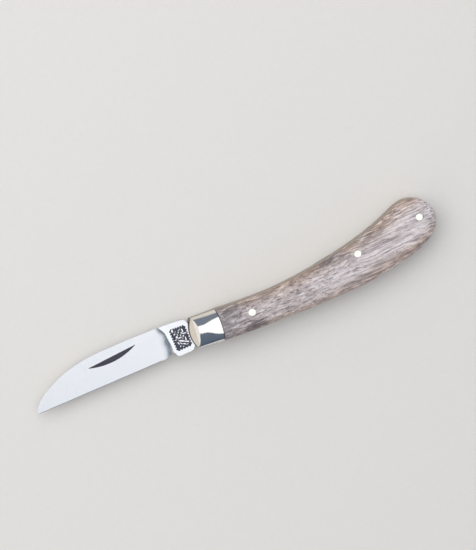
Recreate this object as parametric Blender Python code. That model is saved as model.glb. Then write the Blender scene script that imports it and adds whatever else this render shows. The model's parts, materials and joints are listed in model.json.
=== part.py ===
"""A folding slip-joint pocket knife of the swayback pattern, on its side with the blade open.

Design frame: the blade's pivot is at X = Y = 0 and the knife's mid plane at Z = 0. +X runs to the
butt of the handle, parallel to the cutting edge, +Y to the back of the knife, and +Z to the side
that faces up, which a cutler calls the mark side. The other side is the pile side. An empty
carries the knife from there to the world, whose origin is under the middle of the open knife.
Lengths are in millimetres and angles in degrees until they are used.
"""

import math

import bmesh
import bpy
from mathutils import Matrix, Vector

MM = 0.001

# Layers of the knife, measured outward from its mid plane.
FIT_GAP = 0.05
SPRING_HALF = 1.2
LINER_INNER = SPRING_HALF + FIT_GAP
LINER_THICKNESS = 0.9
LINER_OUTER = LINER_INNER + LINER_THICKNESS
COVER_BASE = LINER_OUTER + FIT_GAP
COVER_RIM = 3.0
CROWN = 5.6

# The covers (bolsters and scales) roll from an upright rim up to a flat crown.
COVER_ROLL = 4.0
ROLL_STEPS = 5

# Outline of the handle, from the front of the back round the butt to the front of the belly. It
# starts ahead of the bolsters, whose front arc then cuts it.
HANDLE_OUTLINE = [
    (-14.0, 7.3),
    (-5.0, 7.0),
    (4.0, 6.5),
    (14.0, 5.65),
    (26.0, 5.2),
    (37.5, 5.8),
    (48.5, 7.2),
    (59.5, 9.0),
    (70.5, 11.75),
    (78.0, 14.45),
    (82.0, 15.85),
    (85.8, 16.35),
    (89.6, 15.1),
    (92.4, 12.2),
    (93.9, 8.4),
    (93.2, 4.2),
    (90.6, 0.9),
    (85.5, -2.0),
    (78.0, -4.15),
    (67.0, -6.1),
    (55.0, -6.9),
    (41.0, -7.05),
    (26.0, -6.55),
    (14.0, -6.1),
    (4.0, -5.4),
    (-5.9, -4.2),
    (-14.0, -3.3),
]
OUTLINE_STEPS = 3

# Arcs seen from above: the front of the bolsters and liners, and the bolster joint.
FRONT_ARC_CENTRE = (2.85, 0.6)
FRONT_ARC_RADIUS = 10.5
JOINT_ARC_CENTRE = (-28.85, 3.1)
JOINT_ARC_RADIUS = 33.0
ARC_STEPS = 12
ARC_REACH = 9.0
ARC_CUT_END = -25.0

# The two facets across the front of each bolster: a ramp up from the front, then a steep shoulder.
FACET_RIDGE = (-5.55, 1.55)
FACET_RIDGE_HEIGHT = 3.9
FACET_LEAN = 5.6
FRONT_FACET_SLOPE = 26.0
REAR_FACET_SLOPE = 48.0
FACET_FRONT_RUN = 6.0
FACET_REAR_RUN = 4.0
FACET_HALF_LENGTH = 14.0

# Pins and rivets: places and radii.
PIN_SEGMENTS = 24
PIVOT_RADIUS = 1.5
PIN_RADIUS = 1.2
PIN_HEAD_RADIUS = 1.42
PIN_HEAD_DEPTH = 0.6
PIN_DOME = 0.12
# A head's profile from its apex out, in shares of its radius and of its dome.
PIN_DOME_PROFILE = [(0.5, 0.75), (0.85, 0.28)]
HEAD_SEAT_DROP = 0.3
MARK_HEAD_PROUD = 0.1
PILE_HEAD_SUNK = 0.02
COVER_PIN_AT = (16.2, 0.5)
SPRING_PIN_AT = (60.8, 5.05)
BUTT_PIN_AT = (87.4, 8.55)
RIVET_RADIUS = 0.6
RIVET_TOP = 3.6
RIVETS_AT = {"front": (-2.6, -2.4), "rear": (2.4, 4.1)}

# The blade.
CLOSING_ANGLE = 175.0
EDGE_LINE = -3.6
BLADE_SPINE = [
    (-6.6, 5.0),
    (-7.1, 6.3),
    (-7.9, 7.35),
    (-9.4, 7.78),
    (-14.4, 8.25),
    (-22.0, 8.5),
    (-30.0, 8.7),
    (-37.0, 8.7),
    (-44.0, 8.5),
    (-50.0, 7.75),
    (-55.0, 6.6),
    (-59.0, 5.2),
    (-62.5, 3.6),
    (-65.0, 2.3),
    (-67.2, 0.7),
    (-69.1, -1.25),
    (-70.2, -3.2),
]
SPINE_STEPS = 2
BLADE_POINT = [(-70.1, -3.45), (-69.6, EDGE_LINE)]
# From the end of the edge round the notch and the kick to the underside of the tang.
BLADE_FOOT = [
    (-19.6, EDGE_LINE),
    (-18.35, -3.25),
    (-17.0, -2.75),
    (-15.9, -2.4),
    (-15.4, -2.45),
    (-15.2, -3.0),
    (-14.9, -3.85),
    (-14.4, -4.3),
    (-13.8, -4.45),
    (-9.4, -4.45),
    (-8.6, -4.2),
    (-8.0, -3.7),
    (-7.5, -3.0),
]
TANG_RADIUS = 3.9
TANG_FLAT = 3.7
TANG_ROUND_START = -130.0
TANG_ARC_STEP = 9.0
EDGE_HALF = 0.12
GRIND_RISE = 0.077
GRIND_END = -80.0
PLUNGE_LINE = [
    (-15.6, -6.5),
    (-15.6, -2.1),
    (-15.5, 0.5),
    (-15.8, 2.9),
    (-16.1, 5.6),
    (-17.1, 7.5),
    (-19.0, 10.5),
]
PLUNGE_SLANT = 1.8
NICK_ENDS = ((-47.2, 4.7), (-27.2, 6.07))
NICK_SAG = 2.1
NICK_DEPTH = 0.38
NICK_OVERCUT = 0.01
NICK_STEPS = 12

# The backspring: a base held by two pins, and an arm that bends where it leaves the base.
SPRING_TIP = -6.35
SPRING_REST = 4.0
SPRING_SPLIT = 52.0
SPLIT_GAP = 0.2
ARM_UNDERSIDE = [
    (52.0, 2.7),
    (44.0, 2.45),
    (34.0, 2.4),
    (26.0, 2.55),
    (20.0, 2.95),
    (15.0, 3.6),
    (10.0, 4.0),
]
BASE_UNDERSIDE = [
    (92.6, 2.7),
    (84.0, 2.8),
    (76.0, 2.3),
    (66.0, 1.9),
    (58.0, 2.15),
    (52.2, 2.7),
]
SPRING_BUTT_HEIGHT = 2.8
BEND_AT = (52.1, 5.2)

# Room that cutters have past what they cut.
CLEAR = 3.0

MERGE_DISTANCE = 1e-6
SHARP_ANGLE = 30.0

STEEL = ((0.62, 0.64, 0.66), 0.28, 1.0)
NICKEL_SILVER = ((0.72, 0.70, 0.65), 0.12, 1.0)
BRASS = ((0.70, 0.52, 0.24), 0.30, 1.0)
HORN = ((0.36, 0.31, 0.30), 0.48, 0.0)


# Outlines


def smooth_curve(points, steps):
    """Points along a Catmull-Rom curve through the given points, ends included."""
    line = [Vector(point) for point in points]
    line = [2 * line[0] - line[1]] + line + [2 * line[-1] - line[-2]]
    curve = []
    for a, b, c, d in zip(line, line[1:], line[2:], line[3:]):
        for step in range(steps):
            t = step / steps
            bend = (2 * a - 5 * b + 4 * c - d) * t**2 + (3 * b - 3 * c + d - a) * t**3
            curve.append(b + 0.5 * ((c - a) * t + bend))
    curve.append(line[-2])
    return curve


def handle_curve():
    return smooth_curve(HANDLE_OUTLINE, OUTLINE_STEPS)


def back_height(x):
    """Height of the handle's back at x, read from the handle's outline."""
    curve = handle_curve()
    for left, right in zip(curve, curve[1:]):
        if left.x <= x < right.x:
            share = (x - left.x) / (right.x - left.x)
            return left.y + share * (right.y - left.y)
    raise ValueError(f"the back has no height at {x}")


def polar(centre, radius, degrees):
    angle = math.radians(degrees)
    return Vector((centre[0] + radius * math.cos(angle), centre[1] + radius * math.sin(angle)))


def arc_between(centre, radius, low_y, high_y, steps, side):
    """Points on an arc from low_y to high_y, on the side of its centre that the sign names."""
    points = []
    for step in range(steps + 1):
        y = low_y + (high_y - low_y) * step / steps
        reach = math.sqrt(radius**2 - (y - centre[1]) ** 2)
        points.append(Vector((centre[0] + side * reach, y)))
    return points


def tang_outline():
    """The tang's round with a flat for each of its three stops, ending under the shoulder."""
    half = math.degrees(math.acos(TANG_FLAT / TANG_RADIUS))
    points = []
    start = TANG_ROUND_START
    for stop in (CLOSING_ANGLE, CLOSING_ANGLE / 2, 0.0):
        end = 90.0 - stop - half
        count = max(1, round((end - start) / TANG_ARC_STEP))
        for step in range(count + 1):
            points.append(polar((0.0, 0.0), TANG_RADIUS, start + (end - start) * step / count))
        start = end + 2 * half
    points.append(Vector((BLADE_SPINE[0][0], TANG_FLAT)))
    return points


def blade_outline():
    spine = smooth_curve(BLADE_SPINE, SPINE_STEPS)
    point = [Vector(p) for p in BLADE_POINT]
    foot = [Vector(p) for p in BLADE_FOOT]
    return spine + point + foot + tang_outline()


def spring_arm_outline():
    underside = smooth_curve(ARM_UNDERSIDE, OUTLINE_STEPS)
    tip = [Vector((SPRING_TIP, SPRING_REST))]
    back = [point for point in handle_curve() if SPRING_TIP < point.x < SPRING_SPLIT and point.y > 0]
    ends = [Vector((x, back_height(x))) for x in (SPRING_TIP, SPRING_SPLIT)]
    return underside + tip + ends[:1] + back + ends[1:]


def spring_base_outline():
    split = SPRING_SPLIT + SPLIT_GAP
    curve = handle_curve()
    around = [point for point in curve if point.x > split and point.y > SPRING_BUTT_HEIGHT]
    start = [Vector((split, back_height(split)))]
    return start + around + smooth_curve(BASE_UNDERSIDE, OUTLINE_STEPS)


def inset_curve(curve, distance):
    """An open clockwise curve moved inward, its ends square to their own first and last runs."""
    before = [2 * curve[0] - curve[1]] + curve[:-1]
    after = curve[1:] + [2 * curve[-1] - curve[-2]]
    moved = []
    for previous, here, following in zip(before, curve, after):
        first = (here - previous).normalized()
        second = (following - here).normalized()
        middle = (first + second).normalized()
        inward = Vector((middle.y, -middle.x))
        moved.append(here + inward * distance / middle.dot(first))
    return moved


# Meshes


def add_ring(mesh, outline, z):
    return [mesh.verts.new(Vector((point.x, point.y, z)) * MM) for point in outline]


def bridge(mesh, low, high):
    for index in range(len(low)):
        after = (index + 1) % len(low)
        mesh.faces.new((low[index], low[after], high[after], high[index]))


def layered_solid(rings):
    """A closed solid through rings of (outline, height), with a flat face at either end."""
    mesh = bmesh.new()
    loops = [add_ring(mesh, outline, z) for outline, z in rings]
    for low, high in zip(loops, loops[1:]):
        bridge(mesh, low, high)
    mesh.faces.new(loops[0])
    mesh.faces.new(loops[-1])
    bmesh.ops.recalc_face_normals(mesh, faces=mesh.faces)
    return mesh


def plate(outline, low_z, high_z):
    return layered_solid([(outline, low_z), (outline, high_z)])


def turned_solid(profile):
    """A solid of revolution about Z from (radius, height) points, the first and last at radius 0."""
    mesh = bmesh.new()
    verts = [mesh.verts.new(Vector((radius, 0.0, z)) * MM) for radius, z in profile]
    edges = [mesh.edges.new(pair) for pair in zip(verts, verts[1:])]
    bmesh.ops.spin(
        mesh,
        geom=verts + edges,
        cent=(0.0, 0.0, 0.0),
        axis=(0.0, 0.0, 1.0),
        angle=math.tau,
        steps=PIN_SEGMENTS,
    )
    bmesh.ops.remove_doubles(mesh, verts=mesh.verts, dist=MERGE_DISTANCE)
    bmesh.ops.recalc_face_normals(mesh, faces=mesh.faces)
    return mesh


def rod(radius, low_z, high_z):
    return turned_solid([(0.0, low_z), (radius, low_z), (radius, high_z), (0.0, high_z)])


def pin_head(apex, rim, side):
    """The half profile of a peened head, from its apex down to the shank."""
    neck = rim - PIN_HEAD_DEPTH
    profile = [(0.0, side * apex)]
    for reach, height in PIN_DOME_PROFILE:
        profile.append((reach * PIN_HEAD_RADIUS, side * (rim + height * (apex - rim))))
    profile.append((PIN_HEAD_RADIUS, side * rim))
    profile.append((PIN_HEAD_RADIUS, side * neck))
    profile.append((PIN_RADIUS, side * (neck - PIN_HEAD_RADIUS + PIN_RADIUS)))
    return profile


def domed_cover(side):
    """The blank of a bolster and a scale together: an upright rim, a rolled edge, a flat crown."""
    outline = handle_curve()
    rings = [(outline, side * COVER_BASE), (outline, side * COVER_RIM)]
    for step in range(1, ROLL_STEPS + 1):
        angle = 0.5 * math.pi * step / ROLL_STEPS
        inward = COVER_ROLL * (1.0 - math.cos(angle))
        height = COVER_RIM + (CROWN - COVER_RIM) * math.sin(angle)
        rings.append((inset_curve(outline, inward), side * height))
    return layered_solid(rings)


def smooth_shaded(mesh_data):
    mesh_data.shade_smooth()
    mesh_data.set_sharp_from_angle(angle=math.radians(SHARP_ANGLE))


# Objects


def clear_scene():
    for item in list(bpy.data.objects):
        bpy.data.objects.remove(item)


def knife_frame():
    """The empty that carries the knife, placed so that the world's origin is under its middle."""
    outline = handle_curve()
    left = min(point[0] for point in BLADE_SPINE)
    right = max(point.x for point in outline)
    low = min(point.y for point in outline)
    high = max(point.y for point in outline)
    frame = bpy.data.objects.new("knife_frame", None)
    frame.location = Vector((-(left + right) / 2, -(low + high) / 2, CROWN)) * MM
    bpy.context.collection.objects.link(frame)
    return frame


def material(name, finish):
    colour, roughness, metallic = finish
    made = bpy.data.materials.new(name)
    made.use_nodes = True
    shader = made.node_tree.nodes["Principled BSDF"]
    shader.inputs["Base Color"].default_value = (*colour, 1.0)
    shader.inputs["Roughness"].default_value = roughness
    shader.inputs["Metallic"].default_value = metallic
    return made


def place(name, mesh, frame, at=(0.0, 0.0)):
    data = bpy.data.meshes.new(name)
    mesh.to_mesh(data)
    mesh.free()
    item = bpy.data.objects.new(name, data)
    item.parent = frame
    item.location = Vector((at[0], at[1], 0.0)) * MM
    bpy.context.collection.objects.link(item)
    return item


def piece(name, mesh, frame, finish, at=(0.0, 0.0)):
    item = place(name, mesh, frame, at)
    smooth_shaded(item.data)
    item.data.materials.append(material(name, finish))
    return item


def cutter(name, mesh, frame, at=(0.0, 0.0)):
    item = place(name, mesh, frame, at)
    item.hide_render = True
    item.display_type = "WIRE"
    return item


def cut(item, tool, operation="DIFFERENCE"):
    step = item.modifiers.new(tool.name, "BOOLEAN")
    step.operation = operation
    step.solver = "EXACT"
    step.object = tool


def bore(name, radius, frame, at, low_z=-CROWN - CLEAR, high_z=CROWN + CLEAR):
    return cutter(name, rod(radius + FIT_GAP, low_z, high_z), frame, at)


# Cutters shared by the two sides


def arc_zone(centre, radius, side, reach_x):
    """The plan of everything from reach_x up to an arc."""
    arc = arc_between(centre, radius, centre[1] - ARC_REACH, centre[1] + ARC_REACH, ARC_STEPS, side)
    return [Vector((reach_x, arc[-1].y))] + arc[::-1] + [Vector((reach_x, arc[0].y))]


def front_cutter(frame):
    """What lies ahead of the arc that ends the bolsters and liners."""
    zone = arc_zone(FRONT_ARC_CENTRE, FRONT_ARC_RADIUS, -1, ARC_CUT_END)
    return cutter("front_cutter", plate(zone, -CROWN - CLEAR, CROWN + CLEAR), frame)


def joint_cutter(name, gap, frame):
    """What lies ahead of the bolster joint, its arc moved by the gap."""
    zone = arc_zone(JOINT_ARC_CENTRE, JOINT_ARC_RADIUS + gap, 1, ARC_CUT_END)
    return cutter(name, plate(zone, -CROWN - CLEAR, CROWN + CLEAR), frame)


def facet_cutter(side, frame):
    """What the two facets take off the front of a bolster."""
    front_drop = FACET_FRONT_RUN * math.tan(math.radians(FRONT_FACET_SLOPE))
    rear_rise = FACET_REAR_RUN * math.tan(math.radians(REAR_FACET_SLOPE))
    profile = [
        (-FACET_FRONT_RUN, FACET_RIDGE_HEIGHT - front_drop),
        (0.0, FACET_RIDGE_HEIGHT),
        (FACET_REAR_RUN, FACET_RIDGE_HEIGHT + rear_rise),
        (FACET_REAR_RUN, CROWN + CLEAR),
        (-FACET_FRONT_RUN, CROWN + CLEAR),
    ]
    mesh = bmesh.new()
    ends = []
    for y in (-FACET_HALF_LENGTH, FACET_HALF_LENGTH):
        ends.append([mesh.verts.new(Vector((x, y, side * z)) * MM) for x, z in profile])
    bridge(mesh, ends[0], ends[1])
    mesh.faces.new(ends[0])
    mesh.faces.new(ends[1])
    bmesh.ops.rotate(
        mesh,
        cent=(0.0, 0.0, 0.0),
        matrix=Matrix.Rotation(math.radians(-FACET_LEAN), 3, "Z"),
        verts=mesh.verts,
    )
    bmesh.ops.recalc_face_normals(mesh, faces=mesh.faces)
    return mesh


# Blade


def grind_height(y):
    """Half thickness of the ground blade at y: a plane from the edge to the spine."""
    return EDGE_HALF + GRIND_RISE * (y - EDGE_LINE)


def grind_mesh(side):
    """What the grindstone takes off one side, ending in a slanted plunge."""
    plunge = [Vector(point) for point in PLUNGE_LINE]
    start = Vector((GRIND_END, plunge[0].y))
    end = Vector((GRIND_END, plunge[-1].y))
    top = [start] + plunge + [end]
    mesh = bmesh.new()
    above = [mesh.verts.new(Vector((p.x, p.y, side * CLEAR)) * MM) for p in top]
    slant = PLUNGE_SLANT / (SPRING_HALF - EDGE_HALF)
    below = []
    for index, point in enumerate(top):
        height = grind_height(point.y)
        is_plunge = 0 < index < len(top) - 1
        x = point.x - slant * (SPRING_HALF - height) if is_plunge else point.x
        below.append(mesh.verts.new(Vector((x, point.y, side * height)) * MM))
    bridge(mesh, below, above)
    mesh.faces.new(below)
    mesh.faces.new(above)
    bmesh.ops.recalc_face_normals(mesh, faces=mesh.faces)
    return mesh


def nick_mesh():
    """The nail nick: deepest along its upper edge and running out at the arc below it."""
    left, right = (Vector(end) for end in NICK_ENDS)
    down = (right - left).normalized()
    down = Vector((down.y, -down.x))
    mesh = bmesh.new()
    surface = []
    floor = []
    for step in range(NICK_STEPS + 1):
        t = step / NICK_STEPS
        bow = 4.0 * t * (1.0 - t)
        upper = left.lerp(right, t)
        lower = upper + down * NICK_SAG * bow
        surface.append((lower, grind_height(lower.y) + NICK_OVERCUT))
        floor.append((upper, grind_height(upper.y) + NICK_OVERCUT - NICK_DEPTH * bow))
    top = grind_height(right.y) + CLEAR
    ends = [mesh.verts.new(Vector((*surface[i][0], surface[i][1])) * MM) for i in (0, -1)]
    arc = [mesh.verts.new(Vector((*p, z)) * MM) for p, z in surface[1:-1]]
    bottom = [mesh.verts.new(Vector((*p, z)) * MM) for p, z in floor[1:-1]]
    roof_arc = [mesh.verts.new(Vector((*p, top)) * MM) for p, _ in surface]
    roof_line = [mesh.verts.new(Vector((*p, top)) * MM) for p, _ in floor[1:-1]]
    arc_line = [ends[0]] + arc + [ends[1]]
    bottom_line = [ends[0]] + bottom + [ends[1]]
    wall_line = [roof_arc[0]] + roof_line + [roof_arc[-1]]
    for low, high in ((arc_line, bottom_line), (bottom_line, wall_line), (arc_line, roof_arc)):
        for index in range(NICK_STEPS):
            corners = [low[index], low[index + 1], high[index + 1], high[index]]
            mesh.faces.new(list(dict.fromkeys(corners)))
    mesh.faces.new(roof_arc + wall_line[-2:0:-1])
    bmesh.ops.recalc_face_normals(mesh, faces=mesh.faces)
    return mesh


def make_blade(frame):
    blade = piece("blade", plate(blade_outline(), -SPRING_HALF, SPRING_HALF), frame, STEEL)
    cut(blade, cutter("mark_grind", grind_mesh(1), frame))
    cut(blade, cutter("pile_grind", grind_mesh(-1), frame))
    cut(blade, cutter("nail_nick", nick_mesh(), frame))
    cut(blade, bore("tang_bore", PIVOT_RADIUS, frame, (0.0, 0.0)))


# Handle


def make_spring(frame):
    arm_outline = [point - Vector(BEND_AT) for point in spring_arm_outline()]
    piece("spring_arm", plate(arm_outline, -SPRING_HALF, SPRING_HALF), frame, STEEL, BEND_AT)
    base = piece("spring_base", plate(spring_base_outline(), -SPRING_HALF, SPRING_HALF), frame, STEEL)
    for name, at in (("spring", SPRING_PIN_AT), ("butt", BUTT_PIN_AT)):
        cut(base, bore(f"{name}_pin_bore", PIN_RADIUS, frame, at))


def make_side(name, side, frame, shared):
    """One side of the handle: liner, bolster, scale, cover pin and rivets."""
    liner_faces = sorted((side * LINER_INNER, side * LINER_OUTER))
    liner = piece(f"{name}_liner", plate(handle_curve(), *liner_faces), frame, BRASS)
    bolster = piece(f"{name}_bolster", domed_cover(side), frame, NICKEL_SILVER)
    scale = piece(f"{name}_scale", domed_cover(side), frame, HORN)

    cut(liner, shared["front"])
    cut(bolster, shared["front"])
    cut(bolster, shared["bolster_joint"], "INTERSECT")
    facets = cutter(f"{name}_facets", facet_cutter(side, frame), frame, FACET_RIDGE)
    cut(bolster, facets)
    cut(scale, shared["scale_joint"])

    for item in (liner, bolster):
        cut(item, shared["pivot"])
    for pin, at in (("cover", COVER_PIN_AT), ("spring", SPRING_PIN_AT), ("butt", BUTT_PIN_AT)):
        cut(liner, shared[pin])
        cut(scale, stepped_bore(f"{name}_{pin}_bore", side, frame, at))

    make_cover_pin(name, side, frame)
    for which, at in RIVETS_AT.items():
        hole_z = sorted((0.0, side * (RIVET_TOP + FIT_GAP)))
        hole = bore(f"{name}_{which}_rivet_bore", RIVET_RADIUS, frame, at, *hole_z)
        cut(liner, hole)
        cut(bolster, hole)
        rivet_z = sorted((side * LINER_INNER, side * RIVET_TOP))
        piece(f"{name}_{which}_rivet", rod(RIVET_RADIUS, *rivet_z), frame, NICKEL_SILVER, at)


def stepped_bore(name, side, frame, at):
    """The bore of a pin through a scale, wider where the peened head sits."""
    shank = PIN_RADIUS + FIT_GAP
    head = PIN_HEAD_RADIUS + FIT_GAP
    step_z = CROWN - PIN_HEAD_DEPTH - HEAD_SEAT_DROP
    top_z = CROWN + CLEAR
    profile = [(0.0, 0.0), (shank, 0.0), (shank, step_z), (head, step_z), (head, top_z), (0.0, top_z)]
    return cutter(name, turned_solid([(radius, side * z) for radius, z in profile]), frame, at)


def head_levels(side):
    """Apex and rim heights of a pin's head: a little proud on the mark side, flush on the pile."""
    apex = CROWN + MARK_HEAD_PROUD if side > 0 else CROWN - PILE_HEAD_SUNK
    return apex, apex - PIN_DOME


def make_cover_pin(name, side, frame):
    profile = pin_head(*head_levels(side), side)
    profile += [(PIN_RADIUS, side * LINER_INNER), (0.0, side * LINER_INNER)]
    piece(f"{name}_cover_pin", turned_solid(profile), frame, NICKEL_SILVER, COVER_PIN_AT)


def make_through_pins(frame):
    pivot = rod(PIVOT_RADIUS, -CROWN + PILE_HEAD_SUNK, CROWN - PILE_HEAD_SUNK)
    piece("pivot_pin", pivot, frame, NICKEL_SILVER)
    for name, at in (("spring_pin", SPRING_PIN_AT), ("butt_pin", BUTT_PIN_AT)):
        mark_end = pin_head(*head_levels(1), 1)
        pile_end = pin_head(*head_levels(-1), -1)
        piece(name, turned_solid(mark_end + pile_end[::-1]), frame, NICKEL_SILVER, at)


def shared_cutters(frame):
    return {
        "front": front_cutter(frame),
        "bolster_joint": joint_cutter("bolster_joint_cutter", -FIT_GAP / 2, frame),
        "scale_joint": joint_cutter("scale_joint_cutter", FIT_GAP / 2, frame),
        "pivot": bore("pivot_bore", PIVOT_RADIUS, frame, (0.0, 0.0)),
        "cover": bore("cover_bore", PIN_RADIUS, frame, COVER_PIN_AT),
        "spring": bore("spring_bore", PIN_RADIUS, frame, SPRING_PIN_AT),
        "butt": bore("butt_bore", PIN_RADIUS, frame, BUTT_PIN_AT),
    }


def main():
    clear_scene()
    frame = knife_frame()
    shared = shared_cutters(frame)
    make_blade(frame)
    make_spring(frame)
    make_side("mark_side", 1, frame, shared)
    make_side("pile_side", -1, frame, shared)
    make_through_pins(frame)


main()
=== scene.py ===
"""Looks of a folding slip-joint pocket knife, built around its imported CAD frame.

Shapes are laid out in the knife's design frame, in millimetres: the blade's pivot at X = Y = 0,
the mid plane at Z = 0, +X to the butt, +Y to the back and +Z to the mark side, which faces up.
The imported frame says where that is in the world, and how thick each layer of the knife is.
"""

import json
import math
import random

import bmesh
import bpy
from mathutils import Matrix, Vector, noise


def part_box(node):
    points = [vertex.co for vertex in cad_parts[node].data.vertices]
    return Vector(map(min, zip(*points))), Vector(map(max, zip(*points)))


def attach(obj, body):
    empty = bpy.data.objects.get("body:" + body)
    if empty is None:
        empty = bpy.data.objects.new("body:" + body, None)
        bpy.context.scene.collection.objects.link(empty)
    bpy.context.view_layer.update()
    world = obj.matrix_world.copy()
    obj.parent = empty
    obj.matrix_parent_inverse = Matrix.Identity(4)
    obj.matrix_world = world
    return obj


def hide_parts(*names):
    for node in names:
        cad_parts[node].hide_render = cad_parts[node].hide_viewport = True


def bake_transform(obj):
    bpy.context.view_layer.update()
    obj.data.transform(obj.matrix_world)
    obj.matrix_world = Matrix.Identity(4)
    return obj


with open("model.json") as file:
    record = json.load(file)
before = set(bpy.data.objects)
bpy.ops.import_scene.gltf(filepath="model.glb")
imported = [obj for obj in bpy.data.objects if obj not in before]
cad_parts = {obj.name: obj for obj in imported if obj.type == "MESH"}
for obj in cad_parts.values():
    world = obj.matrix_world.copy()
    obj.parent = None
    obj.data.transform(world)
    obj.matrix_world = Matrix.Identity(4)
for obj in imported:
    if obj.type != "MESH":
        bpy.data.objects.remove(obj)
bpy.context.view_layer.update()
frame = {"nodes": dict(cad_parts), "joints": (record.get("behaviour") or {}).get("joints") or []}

MM = 0.001
JOINTS = {joint["name"]: Vector(joint["pos_m"]) for joint in frame["joints"]}
PIVOT = JOINTS["blade_pivot"]
TO_WORLD = Matrix.Translation(PIVOT) @ Matrix.Scale(MM, 4)


def span(node):
    """Lowest and highest corner of a CAD node in the design frame."""
    low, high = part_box(node)
    return (low - PIVOT) / MM, (high - PIVOT) / MM


def middle(node):
    low, high = span(node)
    return (low + high) / 2


# Layers of the knife, measured outward from its mid plane.
SPRING_HALF = span("spring_arm")[1].z
LINER_INNER = span("mark_side_liner")[0].z
LINER_OUTER = span("mark_side_liner")[1].z
COVER_BASE = span("mark_side_scale")[0].z
CROWN = span("mark_side_scale")[1].z
PIN_TOP = span("butt_pin")[1].z
COVER_RIM = 3.0
CLEAR = 3.0
SIDES = (("mark_side", 1), ("pile_side", -1))

# The covers' cross section: a superellipse whose power changes along the knife, round at the front
# of the bolster, flattest at the bolster joint and rounder again under the hand.
DOME_POWERS = [(-2.5, 1.85), (5.0, 4.4), (30.0, 2.6)]
CROWN_FALL_START = 1.5
CROWN_FALL = 0.025

# Outline of the handle, from the front of the back round the butt to the front of the belly.
HANDLE_OUTLINE = [
    (-14.0, 7.3),
    (-5.0, 7.0),
    (4.0, 6.5),
    (14.0, 5.65),
    (26.0, 5.2),
    (37.5, 5.8),
    (48.5, 7.2),
    (59.5, 9.0),
    (70.5, 11.75),
    (78.0, 14.45),
    (82.0, 15.85),
    (85.8, 16.35),
    (89.6, 15.1),
    (92.4, 12.2),
    (93.9, 8.4),
    (93.2, 4.2),
    (90.6, 0.9),
    (85.5, -2.0),
    (78.0, -4.15),
    (67.0, -6.1),
    (55.0, -6.9),
    (41.0, -7.05),
    (26.0, -6.55),
    (14.0, -6.1),
    (4.0, -5.4),
    (-5.9, -4.2),
    (-14.0, -3.3),
]
HANDLE_STEPS = 12

# The ridge that the domed covers rise to, from the front of the handle into the butt.
RIDGE_LINE = [
    (-14.0, 3.4),
    (-4.0, 2.0),
    (0.0, 1.35),
    (5.0, 0.55),
    (14.0, -0.2),
    (26.0, -0.7),
    (41.0, -0.45),
    (55.0, 0.6),
    (67.0, 2.45),
    (77.0, 5.2),
    (85.9, 8.2),
]
RIDGE_STEPS = 8
DOME_RINGS = 28
LAST_RING = 0.985

# The worked horn lies below its ideal dome by a broad and a fine noise, fading out at its rim.
BROAD_WEAR = 0.045
BROAD_WAVES = (0.09, 0.28)
FINE_WEAR = 0.02
FINE_WAVES = (0.3, 1.1)
WEAR_FADE = 8.0

# Arcs seen from above: the front of the bolsters and liners, and the bolster joint.
FRONT_ARC_CENTRE = (2.85, 0.6)
FRONT_ARC_RADIUS = 10.5
JOINT_ARC_CENTRE = (-28.85, 3.1)
JOINT_ARC_RADIUS = 33.0
JOINT_GAP = 0.24
ARC_STEPS = 64
ARC_REACH = 9.0

# The two facets across the front of each bolster: a ramp up from the front, then a steep shoulder.
FACET_RIDGE = (-5.55, 1.55)
FACET_RIDGE_HEIGHT = 3.9
FACET_LEAN = 5.6
FRONT_FACET_SLOPE = 26.0
REAR_FACET_SLOPE = 48.0
WALL_MISS = 0.02
WALL_TILT = 0.1
FACET_MISS = 0.002
FACET_AIM = 0.98

# Pins and rivets. The CAD nodes say where they are.
PIN_SEGMENTS = 48
PIVOT_RADIUS = 1.5
PIVOT_GAP = 0.012
PIN_RADIUS = 1.2
PIN_HEAD_RADIUS = 1.42
PIN_HEAD_DEPTH = 0.9
NECK_TOP = 0.45
NECK_END = 0.6
PIN_END_SHARES = (0.12, 0.3, 0.5, 0.7, 0.86, 0.96, 1.0)
PIN_DOMING = 0.12
PIN_EDGE_ROUNDING = 0.3
HEAD_GAP = 0.02
FIT_GAP = 0.05
RIVET_RADIUS = 0.6

# The blade.
CLOSING_ANGLE = 175.0
EDGE_LINE = -3.6
BLADE_SPINE = [
    (-6.6, 5.0),
    (-7.1, 6.3),
    (-7.9, 7.35),
    (-9.4, 7.78),
    (-14.4, 8.25),
    (-22.0, 8.5),
    (-30.0, 8.7),
    (-37.0, 8.7),
    (-44.0, 8.5),
    (-50.0, 7.75),
    (-55.0, 6.6),
    (-59.0, 5.2),
    (-62.5, 3.6),
    (-65.0, 2.3),
    (-67.2, 0.7),
    (-69.1, -1.25),
    (-70.2, -3.2),
]
SPINE_STEPS = 8
BLADE_POINT = [(-70.1, -3.45), (-69.6, EDGE_LINE)]
BLADE_FOOT = [
    (-19.6, EDGE_LINE),
    (-18.35, -3.25),
    (-17.0, -2.75),
    (-15.9, -2.4),
    (-15.4, -2.45),
    (-15.2, -3.0),
    (-14.9, -3.85),
    (-14.4, -4.3),
    (-13.8, -4.45),
    (-9.4, -4.45),
    (-8.6, -4.2),
    (-8.0, -3.7),
    (-7.5, -3.0),
]
TANG_RADIUS = 3.9
TANG_FLAT = 3.7
TANG_ROUND_START = -130.0
TANG_ARC_STEP = 3.0
BLADE_CHAMFER = 0.07
EDGE_HALF = 0.12
GRIND_RISE = 0.077
GRIND_END = -80.0
PLUNGE_LINE = [
    (-15.6, -6.5),
    (-15.6, -2.1),
    (-15.5, 0.5),
    (-15.8, 2.9),
    (-16.1, 5.6),
    (-17.1, 7.5),
    (-19.0, 10.5),
]
PLUNGE_STEPS = 8
PLUNGE_HOLLOW = 10.0
HOLLOW_STEPS = 14
HONED_HALF = 0.08
HONED_RISE = 0.36
HONED_END = -20.6
HONED_SPAN = (-2.0, 1.0)
NICK_ENDS = ((-47.2, 4.7), (-27.2, 6.07))
NICK_SAG = 2.1
NICK_DEPTH = 0.38
NICK_STEPS = 36
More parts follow.
